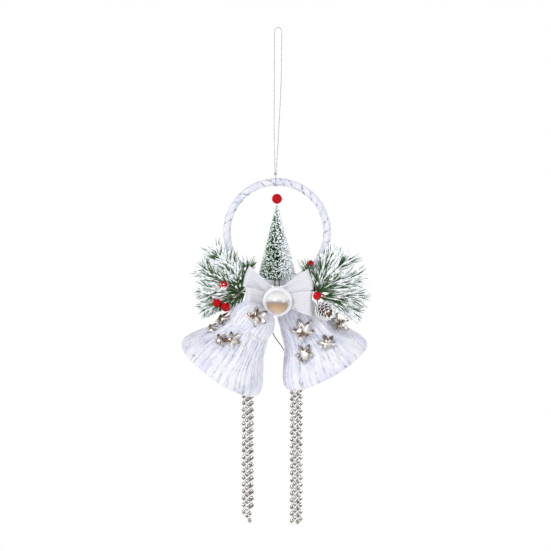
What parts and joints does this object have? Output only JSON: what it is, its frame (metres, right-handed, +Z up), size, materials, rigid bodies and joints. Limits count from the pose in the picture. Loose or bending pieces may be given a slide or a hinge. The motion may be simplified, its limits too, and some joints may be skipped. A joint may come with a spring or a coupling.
{
  "type": "hanging christmas bell ornament",
  "caption": "Hanging winter ornament: white bells with bead tassels under a wrapped hoop with a small tree, bow, pearl and snowy pine sprays.",
  "frame": {"origin": "top of the hanging loop, where a hook or branch carries it", "axes": "+Z up along the hanging loop, -Y towards the front with the pearl, +X to the viewer's right"},
  "size_m": [0.1677, 0.1064, 0.4523],
  "materials": {
    "thread": "thin twisted grey thread",
    "hoop_core": "plain plastic ring",
    "white_wrap": "white twisted paper strip with silver flecks",
    "bell_shell": "matt moulded plastic",
    "bare_wire": "dark olive painted wire",
    "silver_wire": "plain wire",
    "bristle": "green bristles with white flocked tips",
    "red_bead": "glossy red",
    "ribbon": "white ribbed woven ribbon",
    "satin": "soft white satin",
    "pearl": "pearl lustre",
    "needles": "green pine needles with white flock",
    "cone": "brown cone with white frost",
    "silver_leaf": "silver metallised plastic",
    "silver_bead": "silver metallised beads"
  },
  "bodies": {
    "hanging_loop": {"hanging_loop": "thread"},
    "loop_knot": {"loop_knot": "thread"},
    "ornament": {"binding_tail": "bare_wire", "binding_wire": "bare_wire", "bow_lower_left_loop": "ribbon", "bow_lower_right_loop": "ribbon", "bow_tie_band": "ribbon", "bow_upper_left_loop": "ribbon", "bow_upper_right_loop": "ribbon", "hoop_core": "hoop_core", "hoop_wrap": "white_wrap", "left_bell_hanger": "silver_wire", "left_bell_leaves": "silver_leaf", "left_bell_shell": "bell_shell", "left_bell_wrap": "white_wrap", "left_berries": "red_bead", "left_berry_wires": "bare_wire", "left_dome_leaf": "silver_leaf", "left_spray_needles": "needles", "left_spray_wires": "bare_wire", "pearl": "pearl", "pearl_collar": "satin", "pine_cone": "cone", "pine_cone_wire": "bare_wire", "right_bell_hanger": "silver_wire", "right_bell_leaves": "silver_leaf", "right_bell_shell": "bell_shell", "right_bell_wrap": "white_wrap", "right_berries": "red_bead", "right_berry_wires": "bare_wire", "right_spray_needles": "needles", "right_spray_wires": "bare_wire", "tree_bead": "red_bead", "tree_bristles": "bristle", "tree_stem": "bare_wire"},
    "left_tassel_ring": {"left_tassel_ring": "silver_wire"},
    "left_tassel": {"left_tassel_beads_1": "silver_bead", "left_tassel_beads_2": "silver_bead", "left_tassel_beads_3": "silver_bead", "left_tassel_beads_4": "silver_bead", "left_tassel_knot": "thread", "left_tassel_thread_1": "thread", "left_tassel_thread_2": "thread", "left_tassel_thread_3": "thread", "left_tassel_thread_4": "thread"},
    "right_tassel_ring": {"right_tassel_ring": "silver_wire"},
    "right_tassel": {"right_tassel_beads_1": "silver_bead", "right_tassel_beads_2": "silver_bead", "right_tassel_beads_3": "silver_bead", "right_tassel_beads_4": "silver_bead", "right_tassel_knot": "thread", "right_tassel_thread_1": "thread", "right_tassel_thread_2": "thread", "right_tassel_thread_3": "thread", "right_tassel_thread_4": "thread"}
  },
  "joints": [
    {"name": "twist", "type": "hinge", "parent": "hanging_loop", "child": "loop_knot", "pos_m": [-0.0013, 0, -0.132], "axis": [0, 0, 1], "range_deg": [-120, 120]},
    {"name": "nod", "type": "hinge", "parent": "loop_knot", "child": "ornament", "pos_m": [0, 0, -0.1394], "axis": [1, 0, 0], "range_deg": [-20, 20]},
    {"name": "left_tassel_sway", "type": "hinge", "parent": "ornament", "child": "left_tassel_ring", "pos_m": [-0.0263, -0.0005, -0.277], "axis": [0, 1, 0], "range_deg": [-1, 38]},
    {"name": "left_tassel_swing", "type": "hinge", "parent": "left_tassel_ring", "child": "left_tassel", "pos_m": [-0.0263, -0.0005, -0.28085], "axis": [1, 0, 0], "range_deg": [-5, 14]},
    {"name": "right_tassel_sway", "type": "hinge", "parent": "ornament", "child": "right_tassel_ring", "pos_m": [0.0174, 0.0205, -0.268], "axis": [0, 1, 0], "range_deg": [-38, 0.5]},
    {"name": "right_tassel_swing", "type": "hinge", "parent": "right_tassel_ring", "child": "right_tassel", "pos_m": [0.0174, 0.0205, -0.27185], "axis": [1, 0, 0], "range_deg": [-3, 14]}
  ]
}
